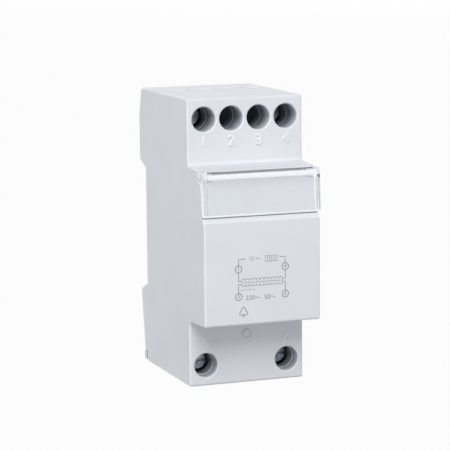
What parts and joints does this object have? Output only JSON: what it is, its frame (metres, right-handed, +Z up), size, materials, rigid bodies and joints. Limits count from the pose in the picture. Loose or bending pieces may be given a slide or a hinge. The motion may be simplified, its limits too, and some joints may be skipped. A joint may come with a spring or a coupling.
{
  "type": "bell transformer",
  "caption": "Rail-mounted bell transformer in a stepped grey case, with recessed screw terminals, a hinged clear label cover, a sprung rail latch and a laminated core.",
  "frame": {"origin": "middle of the rail seat, on the rail's centreline", "axes": "+X along the rail to the right seen from the front, +Y from the front towards the wall, +Z up"},
  "size_m": [0.0356, 0.0583, 0.0845],
  "materials": {
    "case_plastic": "satin moulded",
    "base_plastic": "satin moulded",
    "latch_plastic": "satin moulded",
    "clear_plastic": "clear",
    "spring_steel": "drawn wire",
    "zinc_steel": "zinc plated",
    "contact_brass": "tinned brass",
    "core_steel": "varnished sheet edges",
    "bobbin_plastic": "moulded",
    "winding_copper": "enamelled wire",
    "wrap_film": "polyester film",
    "lead_blue": "insulated lead",
    "lead_brown": "insulated lead"
  },
  "bodies": {
    "case": {"front_housing": "case_plastic", "rear_base": "base_plastic", "latch_spring": "spring_steel", "core_e_stack": "core_steel", "core_i_stack": "core_steel", "coil_bobbin": "bobbin_plastic", "primary_winding": "winding_copper", "secondary_winding": "winding_copper", "primary_wrap": "wrap_film", "secondary_wrap": "wrap_film", "lead_1": "lead_blue", "lead_4": "lead_blue", "lead_5": "lead_brown", "lead_6": "lead_brown", "contact_bar_1": "contact_brass", "contact_bar_4": "contact_brass", "contact_bar_5": "contact_brass", "contact_bar_6": "contact_brass"},
    "cover": {"label_cover": "clear_plastic"},
    "latch": {"rail_latch": "latch_plastic"},
    "screw_1": {"terminal_screw_1": "zinc_steel"},
    "cage_1": {"clamp_cage_1": "zinc_steel"},
    "screw_4": {"terminal_screw_4": "zinc_steel"},
    "cage_4": {"clamp_cage_4": "zinc_steel"},
    "screw_5": {"terminal_screw_5": "zinc_steel"},
    "cage_5": {"clamp_cage_5": "zinc_steel"},
    "screw_6": {"terminal_screw_6": "zinc_steel"},
    "cage_6": {"clamp_cage_6": "zinc_steel"}
  },
  "joints": [
    {"name": "cover_hinge", "type": "hinge", "parent": "case", "child": "cover", "pos_m": [0, -0.0492, 0.0207], "axis": [-1, 0, 0], "range_deg": [0, 90]},
    {"name": "latch_slide", "type": "slide", "parent": "case", "child": "latch", "axis": [0, 0, -1], "range_m": [0, 0.0035], "stiffness_N_per_m": 600, "springref_m": -0.002, "deforming": ["latch_spring"]},
    {"name": "screw_1_turn", "type": "hinge", "parent": "case", "child": "screw_1", "pos_m": [-0.01268, -0.0269, 0.0361], "axis": [0, 1, 0], "range_deg": [0, 2700]},
    {"name": "cage_1_rise", "type": "slide", "parent": "case", "child": "cage_1", "axis": [0, -1, 0], "range_m": [0, 0.0045]},
    {"name": "screw_4_turn", "type": "hinge", "parent": "case", "child": "screw_4", "pos_m": [0.01268, -0.0269, 0.0361], "axis": [0, 1, 0], "range_deg": [0, 2700]},
    {"name": "cage_4_rise", "type": "slide", "parent": "case", "child": "cage_4", "axis": [0, -1, 0], "range_m": [0, 0.0045]},
    {"name": "screw_5_turn", "type": "hinge", "parent": "case", "child": "screw_5", "pos_m": [-0.01268, -0.0306, -0.0362], "axis": [0, 1, 0], "range_deg": [0, 2700]},
    {"name": "cage_5_rise", "type": "slide", "parent": "case", "child": "cage_5", "axis": [0, -1, 0], "range_m": [0, 0.0045]},
    {"name": "screw_6_turn", "type": "hinge", "parent": "case", "child": "screw_6", "pos_m": [0.01268, -0.0306, -0.0362], "axis": [0, 1, 0], "range_deg": [0, 2700]},
    {"name": "cage_6_rise", "type": "slide", "parent": "case", "child": "cage_6", "axis": [0, -1, 0], "range_m": [0, 0.0045]}
  ],
  "couplings": [
    {"joint": "screw_1_turn", "follows": "cage_1_rise", "rad_per_m": 10472},
    {"joint": "screw_4_turn", "follows": "cage_4_rise", "rad_per_m": 10472},
    {"joint": "screw_5_turn", "follows": "cage_5_rise", "rad_per_m": 10472},
    {"joint": "screw_6_turn", "follows": "cage_6_rise", "rad_per_m": 10472}
  ]
}
